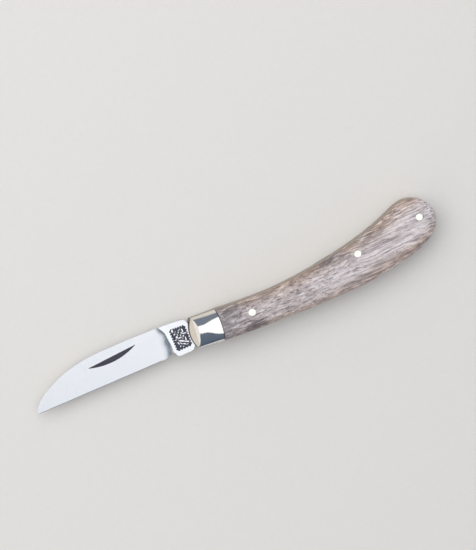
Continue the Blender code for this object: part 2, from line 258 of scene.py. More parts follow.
NICK_KNEE = 0.45
NICK_KNEE_DEPTH = 0.62
NICK_LIP = 0.01
NICK_BAND = (2.0, 6.2)
NICK_MISS = 0.004

# The stamped panel of the ricasso: a sunk scalloped quadrilateral with raised chips in it.
PANEL_CORNERS = [(-14.0, 5.7), (-8.5, 5.3), (-8.6, -2.1), (-14.0, -2.2)]
PANEL_DEPTH = 0.06
SCALLOP = 1.0
SCALLOP_DEPTH = 0.5
SCALLOP_STEPS = 6
CHIPS = 26
CHIP_SEED = 11
CHIP_REACH = 0.95
CHIP_LENGTHS = (0.5, 1.2)
CHIP_WIDTHS = (0.2, 0.6)
CHIP_CORNERS = 7
CHIP_CORNER_REACH = (0.4, 1.0)
CHIP_SIDE_MARGIN = 0.12
CHIP_TOP_MARGIN = 0.05
CHIP_DROP = 0.9

# The backspring.
SPRING_TIP = -6.35
SPRING_REST = 4.0
SPRING_UNDERSIDE = [
    (92.6, 2.7),
    (84.0, 2.8),
    (76.0, 2.3),
    (66.0, 1.9),
    (58.0, 2.15),
    (52.0, 2.7),
    (44.0, 2.45),
    (34.0, 2.4),
    (26.0, 2.55),
    (20.0, 2.95),
    (15.0, 3.6),
    (10.0, 4.0),
]
SPRING_BUTT_HEIGHT = 2.8
SPRING_END_FACING = -0.5
SPRING_CHAMFER = 0.08
LINER_CHAMFER = 0.05

# Roughness of the nickel silver, from the mirror polish of the bolsters to the hidden rivets.
MIRROR_POLISH = 0.07
PIN_POLISH = 0.2
RIVET_POLISH = 0.26


# Outlines


def smooth_curve(points, steps):
    """Points along a Catmull-Rom curve through the given points, ends included."""
    line = [Vector(point) for point in points]
    line = [2 * line[0] - line[1]] + line + [2 * line[-1] - line[-2]]
    curve = []
    for a, b, c, d in zip(line, line[1:], line[2:], line[3:]):
        for step in range(steps):
            t = step / steps
            bend = (2 * a - 5 * b + 4 * c - d) * t**2 + (3 * b - 3 * c + d - a) * t**3
            curve.append(b + 0.5 * ((c - a) * t + bend))
    curve.append(line[-2])
    return curve


def inset(outline, distance, closed=True):
    """A clockwise outline moved inward. An open one keeps its ends square to its end runs."""
    first = outline[-1] if closed else 2 * outline[0] - outline[1]
    last = outline[0] if closed else 2 * outline[-1] - outline[-2]
    moved = []
    for previous, here, following in zip([first] + outline, outline, outline[1:] + [last]):
        arriving = (here - previous).normalized()
        leaving = (following - here).normalized()
        tangent = (arriving + leaving).normalized()
        inward = Vector((tangent.y, -tangent.x))
        moved.append(here + inward * distance / tangent.dot(arriving))
    return moved


def arc_between(centre, radius, low_y, high_y, side):
    points = []
    for step in range(ARC_STEPS + 1):
        y = low_y + (high_y - low_y) * step / ARC_STEPS
        reach = math.sqrt(radius**2 - (y - centre[1]) ** 2)
        points.append(Vector((centre[0] + side * reach, y)))
    return points


def tang_outline():
    """The tang's round with a flat for each of its three stops, ending under the shoulder."""
    half = math.degrees(math.acos(TANG_FLAT / TANG_RADIUS))
    points = []
    start = TANG_ROUND_START
    for stop in (CLOSING_ANGLE, CLOSING_ANGLE / 2, 0.0):
        end = 90.0 - stop - half
        count = max(1, round((end - start) / TANG_ARC_STEP))
        for step in range(count + 1):
            angle = math.radians(start + (end - start) * step / count)
            points.append(Vector((math.cos(angle), math.sin(angle))) * TANG_RADIUS)
        start = end + 2 * half
    points.append(Vector((BLADE_SPINE[0][0], TANG_FLAT)))
    return points


def blade_outline():
    spine = smooth_curve(BLADE_SPINE, SPINE_STEPS)
    rest = [Vector(point) for point in BLADE_POINT + BLADE_FOOT]
    return (spine + rest + tang_outline())[::-1]


def spring_outline():
    curve = smooth_curve(HANDLE_OUTLINE, HANDLE_STEPS)
    back = [p for p in curve if p.x > SPRING_TIP and p.y > SPRING_BUTT_HEIGHT]
    tip = [Vector((SPRING_TIP, SPRING_REST)), Vector((SPRING_TIP, back[0].y))]
    return smooth_curve(SPRING_UNDERSIDE, HANDLE_STEPS) + tip + back


# Meshes, all in design millimetres


def loft(rings):
    """A solid through rings of points with equal counts, with a flat face at either end."""
    mesh = bmesh.new()
    loops = [[mesh.verts.new(point) for point in ring] for ring in rings]
    for low, high in zip(loops, loops[1:]):
        for index in range(len(low)):
            after = (index + 1) % len(low)
            mesh.faces.new((low[index], low[after], high[after], high[index]))
    mesh.faces.new(loops[0])
    mesh.faces.new(loops[-1])
    bmesh.ops.recalc_face_normals(mesh, faces=mesh.faces)
    return mesh


def raised(outline, z):
    return [Vector((point.x, point.y, z)) for point in outline]


def plate(outline, low_z, high_z):
    return loft([raised(outline, low_z), raised(outline, high_z)])


def chamfered_plate(outline, low_z, high_z, chamfer, closed=True):
    small = inset(outline, chamfer, closed)
    levels = [(small, low_z), (outline, low_z + chamfer), (outline, high_z - chamfer), (small, high_z)]
    return loft([raised(points, z) for points, z in levels])


def circle(at, radius):
    turns = [math.tau * step / PIN_SEGMENTS for step in range(PIN_SEGMENTS)]
    return [Vector((at.x + radius * math.cos(turn), at.y + radius * math.sin(turn))) for turn in turns]


def rod(at, radius, low_z, high_z):
    return plate(circle(at, radius), low_z, high_z)


def merged(meshes):
    """One mesh of several bodies that stand apart."""
    whole = bmesh.new()
    for mesh in meshes:
        part = bpy.data.meshes.new("part")
        mesh.to_mesh(part)
        mesh.free()
        whole.from_mesh(part)
        bpy.data.meshes.remove(part)
    return whole


def new_object(name, mesh):
    data = bpy.data.meshes.new(name)
    mesh.to_mesh(data)
    mesh.free()
    item = bpy.data.objects.new(name, data)
    bpy.context.scene.collection.objects.link(item)
    return item


def carve(item, cuts, keep=None, overlapping=False):
    """Keeps only what lies inside one mesh, if given, and takes the others away from an object."""
    steps = [(mesh, "DIFFERENCE") for mesh in cuts]
    if keep:
        steps.insert(0, (keep, "INTERSECT"))
    tools = []
    for mesh, operation in steps:
        tool = new_object("tool", mesh)
        step = item.modifiers.new("cut", "BOOLEAN")
        step.operation = operation
        step.solver = "EXACT"
        step.use_self = overlapping
        step.object = tool
        tools.append(tool)
    graph = bpy.context.evaluated_depsgraph_get()
    carved = bpy.data.meshes.new_from_object(item.evaluated_get(graph))
    item.modifiers.clear()
    item.data = carved
    carved.name = item.name
    for tool in tools:
        bpy.data.objects.remove(tool)


def shade(item, sharp_angle):
    """Smooth shading with creases at sharp_angle, and flats that stay flat beside curves."""
    item.data.shade_smooth()
    item.data.set_sharp_from_angle(angle=math.radians(sharp_angle))
    weighted = item.modifiers.new("flat_faces", "WEIGHTED_NORMAL")
    weighted.keep_sharp = True


def crease(item, zone_of):
    """Creases every edge whose two faces lie in different zones."""
    zones = [zone_of(face) for face in item.data.polygons]
    faces_at = {}
    for face in item.data.polygons:
        for key in face.edge_keys:
            faces_at.setdefault(key, []).append(face.index)
    for edge in item.data.edges:
        if len({zones[index] for index in faces_at[edge.key]}) > 1:
            edge.use_edge_sharp = True


def finished(item, materials, nodes, sharp_angle=30.0, zone_of=None):
    """Puts a piece in the world with its finish, standing for its CAD nodes."""
    shade(item, sharp_angle)
    if zone_of:
        crease(item, zone_of)
    item.data.transform(TO_WORLD)
    indices = [face.material_index for face in item.data.polygons]
    item.data.materials.clear()
    for material in materials:
        item.data.materials.append(material)
    item.data.polygons.foreach_set("material_index", indices)
    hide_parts(*nodes)
    return item


# Covers: the domed surface that a side's bolster and scale share


def nearest_on(line, point):
    """The point of a polyline that is nearest to a point."""
    best = None
    for start, end in zip(line, line[1:]):
        run = end - start
        share = max(0.0, min(1.0, (point - start).dot(run) / run.length_squared))
        foot = start + run * share
        if best is None or (foot - point).length < (best - point).length:
            best = foot
    return best


def cover_spokes():
    """Each point of the handle's outline, with the point of the ridge line that it leans to."""
    ridge = smooth_curve(RIDGE_LINE, RIDGE_STEPS)
    return [(point, nearest_on(ridge, point)) for point in smooth_curve(HANDLE_OUTLINE, HANDLE_STEPS)]


SPOKES = cover_spokes()


def dome_power(x):
    """Power of the covers' cross section at x."""
    power = DOME_POWERS[0][1]
    for (left, low), (right, high) in zip(DOME_POWERS, DOME_POWERS[1:]):
        share = max(0.0, min(1.0, (x - left) / (right - left)))
        power += (high - low) * share * share * (3.0 - 2.0 * share)
    return power


def dome_height(share, x):
    """Height of a cover at a share of the way from its rim to its ridge."""
    away = 1.0 - share
    fall = CROWN_FALL / 2 * max(0.0, CROWN_FALL_START - x) ** 2
    rise = (CROWN - COVER_RIM) * math.sqrt(1.0 - away ** dome_power(x))
    return COVER_RIM + rise * (1.0 - fall / (CROWN - COVER_RIM))


def cover_height(point):
    """Height of a cover at a point seen from above."""
    best_miss = math.inf
    best_share = 1.0
    for rim, ridge in SPOKES:
        spoke = rim - ridge
        share = max(0.0, min(1.0, (point - ridge).dot(spoke) / spoke.length_squared))
        miss = (ridge + spoke * share - point).length
        if miss < best_miss:
            best_miss = miss
            best_share = 1.0 - share
    return dome_height(best_share, point.x)


def horn_wear(point):
    """How far the worked horn lies below its ideal dome at a point."""
    broad = noise.noise(Vector((point.x * BROAD_WAVES[0], point.y * BROAD_WAVES[1], 3.0)))
    fine = noise.noise(Vector((point.x * FINE_WAVES[0], point.y * FINE_WAVES[1], 8.0)))
    return BROAD_WEAR * (1.0 + broad) + FINE_WEAR * (1.0 + fine)


def domed_cover(side, wear=None):
    """A bolster and a scale in one: an upright rim and a dome up to the ridge line."""
    outline = [rim for rim, _ in SPOKES]
    rings = [raised(outline, side * COVER_BASE), raised(outline, side * COVER_RIM)]
    for step in range(1, DOME_RINGS + 1):
        share = LAST_RING * (step / DOME_RINGS) ** 2
        ring = []
        for rim, ridge in SPOKES:
            point = rim.lerp(ridge, share)
            height = dome_height(share, point.x)
            if wear:
                height -= wear(point) * min(1.0, WEAR_FADE * share)
            ring.append(Vector((point.x, point.y, side * height)))
        rings.append(ring)
    mesh = loft(rings)
    caps = [face for face in mesh.faces if len(face.verts) > 4]
    bmesh.ops.triangulate(mesh, faces=caps, ngon_method="BEAUTY")
    return mesh


def arc_zone(centre, radius, side, reach_x):
    """The plan of everything from reach_x up to an arc."""
    arc = arc_between(centre, radius, centre[1] - ARC_REACH, centre[1] + ARC_REACH, side)
    return [Vector((reach_x, arc[-1].y))] + arc[::-1] + [Vector((reach_x, arc[0].y))]


def ahead_of_front():
    zone = arc_zone(FRONT_ARC_CENTRE, FRONT_ARC_RADIUS, -1, 2 * GRIND_END)
    return plate(zone, -CROWN - CLEAR, CROWN + CLEAR)


def ahead_of_joint(gap):
    zone = arc_zone(JOINT_ARC_CENTRE, JOINT_ARC_RADIUS + gap, 1, GRIND_END)
    return plate(zone, -CROWN - CLEAR, CROWN + CLEAR)


def facets(side):
    """What the two facets take off the front of a bolster."""
    front = 6.0
    rear = 4.0
    profile = [
        (-front, FACET_RIDGE_HEIGHT - front * math.tan(math.radians(FRONT_FACET_SLOPE))),
        (0.0, FACET_RIDGE_HEIGHT),
        (rear, FACET_RIDGE_HEIGHT + rear * math.tan(math.radians(REAR_FACET_SLOPE))),
        (rear, CROWN + CLEAR),
        (-front, CROWN + CLEAR),
    ]
    half_length = 14.0
    mesh = loft([[Vector((x, y, side * z)) for x, z in profile] for y in (-half_length, half_length)])
    turn = Matrix.Rotation(math.radians(-FACET_LEAN), 4, "Z")
    mesh.transform(Matrix.Translation((*FACET_RIDGE, 0.0)) @ turn)
    return mesh


# Blade


def grind_height(y):
    """Half thickness of the ground blade at y: a plane from the edge to the spine."""
    return EDGE_HALF + GRIND_RISE * (y - EDGE_LINE)


def grind(side):
    """What the wheel takes off one side: a flat from edge to spine, run out in a hollow."""
    rings = []
    for station in smooth_curve(PLUNGE_LINE, PLUNGE_STEPS):
        low = min(grind_height(station.y), 0.99 * SPRING_HALF)
        rise = 1.01 * SPRING_HALF - low
        run = math.sqrt(2 * PLUNGE_HOLLOW * rise - rise**2)
        profile = [(GRIND_END, low)]
        for step in range(HOLLOW_STEPS + 1):
            along = run * step / HOLLOW_STEPS
            z = low + PLUNGE_HOLLOW - math.sqrt(PLUNGE_HOLLOW**2 - along**2)
            profile.append((station.x - run + along, z))
        profile += [(station.x, CLEAR), (GRIND_END, CLEAR)]
        rings.append([Vector((x, station.y, side * z)) for x, z in profile])
    return loft(rings)


def honing(side):
    """What the stone takes off one side of the edge."""
    low, high = (EDGE_LINE + reach for reach in HONED_SPAN)
    profile = [(y, HONED_HALF + HONED_RISE * (y - EDGE_LINE)) for y in (low, high)]
    profile += [(high, CLEAR), (low, CLEAR)]
    return loft([[Vector((x, y, side * z)) for y, z in profile] for x in (GRIND_END, HONED_END)])


def nail_nick():
    """The nail nick: deepest along its upper edge and running out at the arc below it."""
    left, right = (Vector(end) for end in NICK_ENDS)
    along = (right - left).normalized()
    down = Vector((along.y, -along.x))
    above = SPRING_HALF + CLEAR
    rings = []
    for step in range(1, NICK_STEPS):
        t = step / NICK_STEPS
        bow = 4.0 * t * (1.0 - t)
        upper = left.lerp(right, t)
        lower = upper + down * NICK_SAG * bow
        knee = upper.lerp(lower, NICK_KNEE)
        rings.append(
            [
                Vector((lower.x, lower.y, above)),
                Vector((lower.x, lower.y, grind_height(lower.y) + NICK_LIP)),
                Vector((knee.x, knee.y, grind_height(knee.y) - NICK_KNEE_DEPTH * NICK_DEPTH * bow)),
                Vector((upper.x, upper.y, grind_height(upper.y) - NICK_DEPTH * bow)),
                Vector((upper.x, upper.y, above)),
            ]
        )
    return loft(rings)


def panel_border():
    """A quadrilateral whose sides bulge outward in small scallops."""
    corners = [Vector(corner) for corner in PANEL_CORNERS]
    points = []
    for start, end in zip(corners, corners[1:] + corners[:1]):
        run = end - start
        outward = Vector((-run.y, run.x)).normalized()
        scallops = round(run.length / SCALLOP)
        steps = SCALLOP_STEPS * scallops
        for step in range(steps):
            t = step / steps
            bulge = outward * SCALLOP_DEPTH * abs(math.sin(math.pi * scallops * t))
            points.append(start + run * t + bulge)
    return points


def raised_marks():
    """What stays standing inside the sunk panel: ragged chips, no two alike."""
    floor = SPRING_HALF - 2 * PANEL_DEPTH
    top_left, top_right, low_right, low_left = (Vector(corner) for corner in PANEL_CORNERS)
    golden = (math.sqrt(5.0) - 1.0) / 2
    dice = random.Random(CHIP_SEED)
    bodies = []
    for index in range(CHIPS):
        across = CHIP_SIDE_MARGIN + (1 - 2 * CHIP_SIDE_MARGIN) * (index * golden % 1.0)
        down = CHIP_TOP_MARGIN + CHIP_DROP * (index + 0.5) / CHIPS
        centre = top_left.lerp(top_right, across).lerp(low_left.lerp(low_right, across), down)
        turn = Matrix.Rotation(dice.uniform(0.0, math.pi), 2)
        length = CHIP_REACH * dice.uniform(*CHIP_LENGTHS)
        width = length * dice.uniform(*CHIP_WIDTHS)
        corners = []
        for step in range(CHIP_CORNERS):
            angle = math.tau * step / CHIP_CORNERS
            share = dice.uniform(*CHIP_CORNER_REACH)
            corner = Vector((length * share * math.cos(angle), width * share * math.sin(angle)))
            corners.append(centre + turn @ corner)
        bodies.append(plate(corners, floor, 2 * CROWN))
    return merged(bodies)


def stamped_panel():
    tool = new_object("panel", plate(panel_border(), SPRING_HALF - PANEL_DEPTH, CROWN))
    carve(tool, [raised_marks()], overlapping=True)
    mesh = bmesh.new()
    mesh.from_mesh(tool.data)
    bpy.data.objects.remove(tool)
    return mesh


def paint_blade(item):
    """Gives the sunk floor of the panel its own finish, and the inside of the nail nick its dark steel
    with painted shade.
    """
    panel_left = PANEL_CORNERS[0][0] - SCALLOP_DEPTH
    panel_right = PANEL_CORNERS[1][0] + SCALLOP_DEPTH
    panel_floor = SPRING_HALF - PANEL_DEPTH
    for face in item.data.polygons:
        x, y, z = face.center
        if panel_left < x < panel_right and abs(z - panel_floor) < PANEL_DEPTH / 3:
            face.material_index = 1
        in_nick = NICK_ENDS[0][0] < x < NICK_ENDS[1][0] and NICK_BAND[0] < y < NICK_BAND[1]
        if in_nick and 0.0 < z < grind_height(y) - NICK_MISS:
            face.material_index = 2


def make_blade():
    outline = blade_outline()
    item = new_object("blade_steel", chamfered_plate(outline, -SPRING_HALF, SPRING_HALF, BLADE_CHAMFER))
    cuts = [grind(1), grind(-1), honing(1), honing(-1), nail_nick(), stamped_panel()]
    cuts.append(rod(Vector((0.0, 0.0)), PIVOT_RADIUS + FIT_GAP, -CLEAR, CLEAR))
    carve(item, cuts)
    paint_blade(item)
    finished(item, [steel(), stamp_black(), nick_grey()], ["blade"], 9.0)
    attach(item, "blade")


# Handle


def make_spring():
    outline = spring_outline()
    item = new_object("backspring", chamfered_plate(outline, -SPRING_HALF, SPRING_HALF, SPRING_CHAMFER))
    cuts = [rod(middle(pin), PIN_RADIUS + FIT_GAP, -CLEAR, CLEAR) for pin in ("spring_pin", "butt_pin")]
    cuts.append(ahead_of_front())
    carve(item, cuts)
    # The spring's front end, facing the tang, gets the dark metal as painted shade.
    for face in item.data.polygons:
        in_painted_shade = face.normal.x < SPRING_END_FACING and face.center.x < 0.0
        face.material_index = int(in_painted_shade)
    finished(item, [spring_steel(), painted_shade_metal()], ["spring_base", "spring_arm"])
    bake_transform(item)


def make_liner(side_name, side):
    outline = smooth_curve(HANDLE_OUTLINE, HANDLE_STEPS)
    low, high = sorted((side * LINER_INNER, side * LINER_OUTER))
    item = new_object(side_name + "_lining", chamfered_plate(outline, low, high, LINER_CHAMFER, False))
    cuts = [ahead_of_front()]
    for pin in ("spring_pin", "butt_pin", side_name + "_cover_pin"):
        cuts.append(rod(middle(pin), PIN_RADIUS + FIT_GAP, -CROWN, CROWN))
    cuts.append(rod(middle("pivot_pin"), PIVOT_RADIUS + FIT_GAP, -CROWN, CROWN))
    for which in ("front", "rear"):
        cuts.append(rod(middle(f"{side_name}_{which}_rivet"), RIVET_RADIUS + FIT_GAP, -CROWN, CROWN))
    carve(item, cuts)
    finished(item, [brass()], [side_name + "_liner"])
    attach(item, "handle")


def bolster_zone(face):
    """Which cut of a bolster a face belongs to: its front wall, either facet, or the dome."""
    from_arc = (face.center.xy - Vector(FRONT_ARC_CENTRE)).length - FRONT_ARC_RADIUS
    if abs(from_arc) < WALL_MISS and abs(face.normal.z) < WALL_TILT:
        return "wall"
    turn = math.radians(FACET_LEAN)
    from_ridge = face.center.xy - Vector(FACET_RIDGE)
    above_ridge = abs(face.center.z) - FACET_RIDGE_HEIGHT
    for slope in (FRONT_FACET_SLOPE, REAR_FACET_SLOPE):
        away = Vector((-math.cos(turn), math.sin(turn))) * math.sin(math.radians(slope))
        off_plane = from_ridge.dot(away) + math.cos(math.radians(slope)) * above_ridge
        if abs(off_plane) < FACET_MISS and face.normal.xy.dot(away) > FACET_AIM * away.length_squared:
            return slope
    return "dome"


def make_bolster(side_name, side):
    item = new_object(side_name + "_bolster_polished", domed_cover(side))
    pivot_bore = rod(middle("pivot_pin"), PIVOT_RADIUS + PIVOT_GAP, -CROWN - CLEAR, CROWN + CLEAR)
    cuts = [ahead_of_front(), facets(side), pivot_bore]
    for which in ("front", "rear"):
        rivet = f"{side_name}_{which}_rivet"
        top = max(abs(corner.z) for corner in span(rivet)) + FIT_GAP
        low, high = sorted((0.0, side * top))
        cuts.append(rod(middle(rivet), RIVET_RADIUS + FIT_GAP, low, high))
    carve(item, cuts, keep=ahead_of_joint(-FIT_GAP / 2))
    # The front wall of each bolster gets the dark metal, painted shade where it stands over the blade.
    for face in item.data.polygons:
        face.material_index = int(bolster_zone(face) == "wall")
    materials = [nickel_silver("bolster_nickel_silver", MIRROR_POLISH), painted_shade_metal()]
    finished(item, materials, [side_name + "_bolster"], zone_of=bolster_zone)
    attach(item, "handle")


def make_scale(side_name, side):
    item = new_object(side_name + "_scale_horn", domed_cover(side, horn_wear))
    cuts = [ahead_of_joint(JOINT_GAP)]
    for pin in ("spring_pin", "butt_pin", side_name + "_cover_pin"):
        cuts.append(rod(middle(pin), PIN_HEAD_RADIUS + HEAD_GAP, -2 * CROWN, 2 * CROWN))
    carve(item, cuts)
    finished(item, [horn()], [side_name + "_scale"])
    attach(item, "handle")


def pin_end(at, side, radius, proud, follow=0.3):
    """Rings of a pin's end from its middle to its rim, a little flatter than the cover around it."""
    rings = []
    centre_height = cover_height(at.xy)
    for share in PIN_END_SHARES:
        rounding = proud * (PIN_DOMING * share**2 + PIN_EDGE_ROUNDING * share**12)
        ring = []
        for point in circle(at, radius * share):
            height = centre_height + follow * (cover_height(point) - centre_height)
            ring.append(Vector((point.x, point.y, side * (height + proud - rounding))))
        rings.append(ring)
    return rings


def head_and_shank(at, side, proud):
    head_z = CROWN - PIN_HEAD_DEPTH
    rings = pin_end(at, side, PIN_HEAD_RADIUS, proud)
    rings.append(raised(circle(at, PIN_HEAD_RADIUS), side * (head_z - NECK_TOP)))
    rings.append(raised(circle(at, PIN_RADIUS), side * (head_z - NECK_END)))
    return rings


def make_pin(name, node, rings, material_name="pin_nickel_silver", roughness=PIN_POLISH):
    item = new_object(name, loft(rings))
    finished(item, [nickel_silver(material_name, roughness)], [node])
    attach(item, "handle")


def make_pins():
    proud = {1: PIN_TOP - CROWN, -1: 0.0}
    for name, node in (("spring_pin_peened", "spring_pin"), ("butt_pin_peened", "butt_pin")):
        at = middle(node)
        rings = head_and_shank(at, 1, proud[1]) + head_and_shank(at, -1, proud[-1])[::-1]
        make_pin(name, node, rings)
    for side_name, side in SIDES:
        node = side_name + "_cover_pin"
        at = middle(node)
        rings = head_and_shank(at, side, proud[side])
        rings.append(raised(circle(at, PIN_RADIUS), side * LINER_INNER))
        make_pin(side_name + "_cover_pin_peened", node, rings)
    at = middle("pivot_pin")
    rings = pin_end(at, 1, PIVOT_RADIUS, 0.0, 1.0) + pin_end(at, -1, PIVOT_RADIUS, 0.0, 1.0)[::-1]
    make_pin("pivot_pin_flush", "pivot_pin", rings, "pivot_nickel_silver", MIRROR_POLISH)


def finish_rivets():
    """The hidden rivets keep their CAD shapes."""
    material = nickel_silver("rivet_nickel_silver", RIVET_POLISH)
    for name, node in frame["nodes"].items():
        if name.endswith("_rivet"):
            node.data.materials.clear()
            node.data.materials.append(material)


# Materials


class Recipe:
    """Shader nodes, added to a tree with short calls."""

    def __init__(self, tree):
        self.tree = tree

    def fill(self, node, values):
        for key, value in values.items():
            if isinstance(value, bpy.types.NodeSocket):
                self.tree.links.new(value, node.inputs[key])
            else:
                node.inputs[key].default_value = value

    def add(self, kind, values=None, **settings):
        node = self.tree.nodes.new("ShaderNode" + kind)
        for key, value in settings.items():
            setattr(node, key, value)
        self.fill(node, values or {})
        return node

    def mapped(self, vector, scale, offset=(0.0, 0.0, 0.0)):
        values = {"Vector": vector, "Scale": scale, "Location": offset}
        return self.add("Mapping", values).outputs["Vector"]

    def math(self, operation, a, b=0.0):
        return self.add("Math", {0: a, 1: b}, operation=operation).outputs[0]

    def remap(self, value, low, high, to_low=0.0, to_high=1.0, smooth=True):
        values = {"Value": value, "From Min": low, "From Max": high, "To Min": to_low, "To Max": to_high}
        kind = "SMOOTHSTEP" if smooth else "LINEAR"
        return self.add("MapRange", values, interpolation_type=kind).outputs["Result"]

    def distance(self, vector):
        return self.add("VectorMath", {0: vector}, operation="LENGTH").outputs["Value"]

    def dot(self, a, b):
        return self.add("VectorMath", {0: a, 1: b}, operation="DOT_PRODUCT").outputs["Value"]

    def mix(self, share, a, b):
        return self.add("Mix", {0: share, 6: a, 7: b}, data_type="RGBA").outputs[2]


class Finish(Recipe):
    """A material of one Principled shader. Its place socket is in design millimetres."""

    def __init__(self, name):
        self.material = bpy.data.materials.new(name)
        self.material.use_nodes = True
        super().__init__(self.material.node_tree)
        self.shader = self.tree.nodes["Principled BSDF"]
        local = self.add("TexCoord").outputs["Object"]
        self.place = self.mapped(local, (1 / MM,) * 3, -PIVOT / MM)

    def noise(self, scale, detail=4.0, roughness=0.55, distortion=0.0, place=None):
        """Noise with its own number of waves per millimetre along each axis."""
        vector = self.mapped(place or self.place, scale)
        values = {"Vector": vector, "Scale": 1.0, "Detail": detail, "Roughness": roughness}
        values["Distortion"] = distortion
        return self.add("TexNoise", values).outputs["Fac"]

    def bump(self, height, distance):
        """A bump whose height of 1 stands a distance in millimetres proud."""
        values = {"Height": height, "Distance": distance * MM, "Strength": 1.0}
        return self.add("Bump", values).outputs["Normal"]

    def done(self, **sockets):
        self.fill(self.shader, {name.replace("_", " "): value for name, value in sockets.items()})
        return self.material


def rgb(red, green, blue):
    return (red, green, blue, 1.0)


def steel():
    """Satin steel with grind lines that run from edge to spine."""
    recipe = Finish("blade_satin_steel")
    lines = recipe.noise((7.0, 0.35, 0.35), detail=6.0, roughness=0.75)
    clouds = recipe.noise((0.12, 0.2, 0.2), detail=3.0)
    colour = recipe.mix(clouds, rgb(0.745, 0.775, 0.82), rgb(0.81, 0.825, 0.86))
    worn = recipe.remap(lines, 0.34, 0.5, 0.1, 0.0)
    colour = recipe.mix(worn, colour, rgb(0.35, 0.37, 0.42))

    # A dark line painted on the ricasso as shade, where the front of the bolster lies over it and shades
    # it.
    offset = (-FRONT_ARC_CENTRE[0], -FRONT_ARC_CENTRE[1], 0.0)
    reach = recipe.distance(recipe.mapped(recipe.place, (1.0, 1.0, 0.0), offset))
    painted_shade_line = recipe.remap(reach, FRONT_ARC_RADIUS + 0.15, FRONT_ARC_RADIUS + 0.5, 0.85, 0.0)
    colour = recipe.mix(painted_shade_line, colour, rgb(0.06, 0.065, 0.08))
    roughness = recipe.remap(lines, 0.3, 0.7, 0.2, 0.28)
    return recipe.done(
        Base_Color=colour, Metallic=1.0, Roughness=roughness, Normal=recipe.bump(lines, 0.0012)
    )


def stamp_black():
    """The dark floor of the stamped panel."""
    recipe = Finish("stamp_dark_oxide")
    grain = recipe.noise((2.5, 2.5, 2.5), detail=5.0, roughness=0.7)
    colour = recipe.mix(recipe.remap(grain, 0.35, 0.7), rgb(0.03, 0.034, 0.05), rgb(0.12, 0.125, 0.16))
    return recipe.done(
        Base_Color=colour, Metallic=0.3, Roughness=0.55, Normal=recipe.bump(grain, 0.02)
    )


def nick_grey():
    """The scaled dark steel inside the nail nick, darkened further as painted shade in the recess."""
    recipe = Finish("nick_dark_steel")
    grain = recipe.noise((0.6, 4.0, 4.0), detail=4.0, roughness=0.6)
    colour = recipe.mix(recipe.remap(grain, 0.3, 0.75), rgb(0.045, 0.045, 0.06), rgb(0.09, 0.09, 0.12))
    roughness = recipe.remap(grain, 0.3, 0.7, 0.38, 0.55)
    return recipe.done(
        Base_Color=colour, Metallic=0.5, Roughness=roughness, Normal=recipe.bump(grain, 0.01)
    )


def spring_steel():
    """Spring steel: dark on its sides, and polished along its back, where its colour is painted dark as
    shade.
    """
    recipe = Finish("spring_steel")
    lines = recipe.noise((0.5, 6.0, 6.0), detail=5.0, roughness=0.65)
    facing = recipe.add("SeparateXYZ", {0: recipe.add("TexCoord").outputs["Normal"]}).outputs["Z"]
    on_side = recipe.remap(recipe.math("ABSOLUTE", facing), 0.6, 0.9)
    # The polished back is coloured dark brown grey, painted shade along the knife's back.
    polished_back_painted_shade = recipe.mix(lines, rgb(0.2, 0.185, 0.165), rgb(0.32, 0.3, 0.27))
    dark = recipe.mix(lines, rgb(0.07, 0.07, 0.08), rgb(0.16, 0.16, 0.17))
    roughness = recipe.mix(on_side, rgb(0.22, 0.22, 0.22), rgb(0.5, 0.5, 0.5))
    return recipe.done(
        Base_Color=recipe.mix(on_side, polished_back_painted_shade, dark),
        Metallic=1.0,
        Roughness=roughness,
        Normal=recipe.bump(lines, 0.006),
    )


def nickel_silver(name, roughness):
    """Polished nickel silver with fine wiping scratches."""
    recipe = Finish(name)
    scratches = recipe.noise((1.2, 14.0, 3.0), detail=6.0, roughness=0.75, distortion=0.6)
    clouds = recipe.noise((0.25, 0.3, 0.3), detail=3.0)
    colour = recipe.mix(clouds, rgb(0.82, 0.8, 0.76), rgb(0.9, 0.885, 0.85))
    return recipe.done(
        Base_Color=colour,
        Metallic=1.0,
        Roughness=recipe.remap(scratches, 0.4, 0.75, roughness, roughness + 0.1),
        Normal=recipe.bump(scratches, 0.0015),
    )


def painted_shade_metal():
    """Dull dark metal, painted as shade on the front walls of the bolsters and the front end of the
    spring.
    """
    recipe = Finish("painted_shade_dark_metal")
    grain = recipe.noise((2.0, 2.0, 2.0), detail=4.0, roughness=0.6)
    colour = recipe.mix(grain, rgb(0.05, 0.05, 0.055), rgb(0.16, 0.155, 0.15))
    return recipe.done(
        Base_Color=colour, Metallic=0.6, Roughness=0.5, Normal=recipe.bump(grain, 0.01)
    )


def brass():
    """Brass lining with file marks along its edge."""
    recipe = Finish("lining_brass")
    marks = recipe.noise((4.0, 4.0, 0.4), detail=5.0, roughness=0.7)
    clouds = recipe.noise((0.15, 0.3, 0.3), detail=3.0)
    # The brass colours are kept dark, painted shade on the lining's edges.
    colour = recipe.mix(clouds, rgb(0.3, 0.205, 0.1), rgb(0.45, 0.325, 0.16))
    return recipe.done(
        Base_Color=colour,
        Metallic=1.0,
        Roughness=recipe.remap(marks, 0.3, 0.7, 0.24, 0.42),
        Normal=recipe.bump(marks, 0.006),
    )


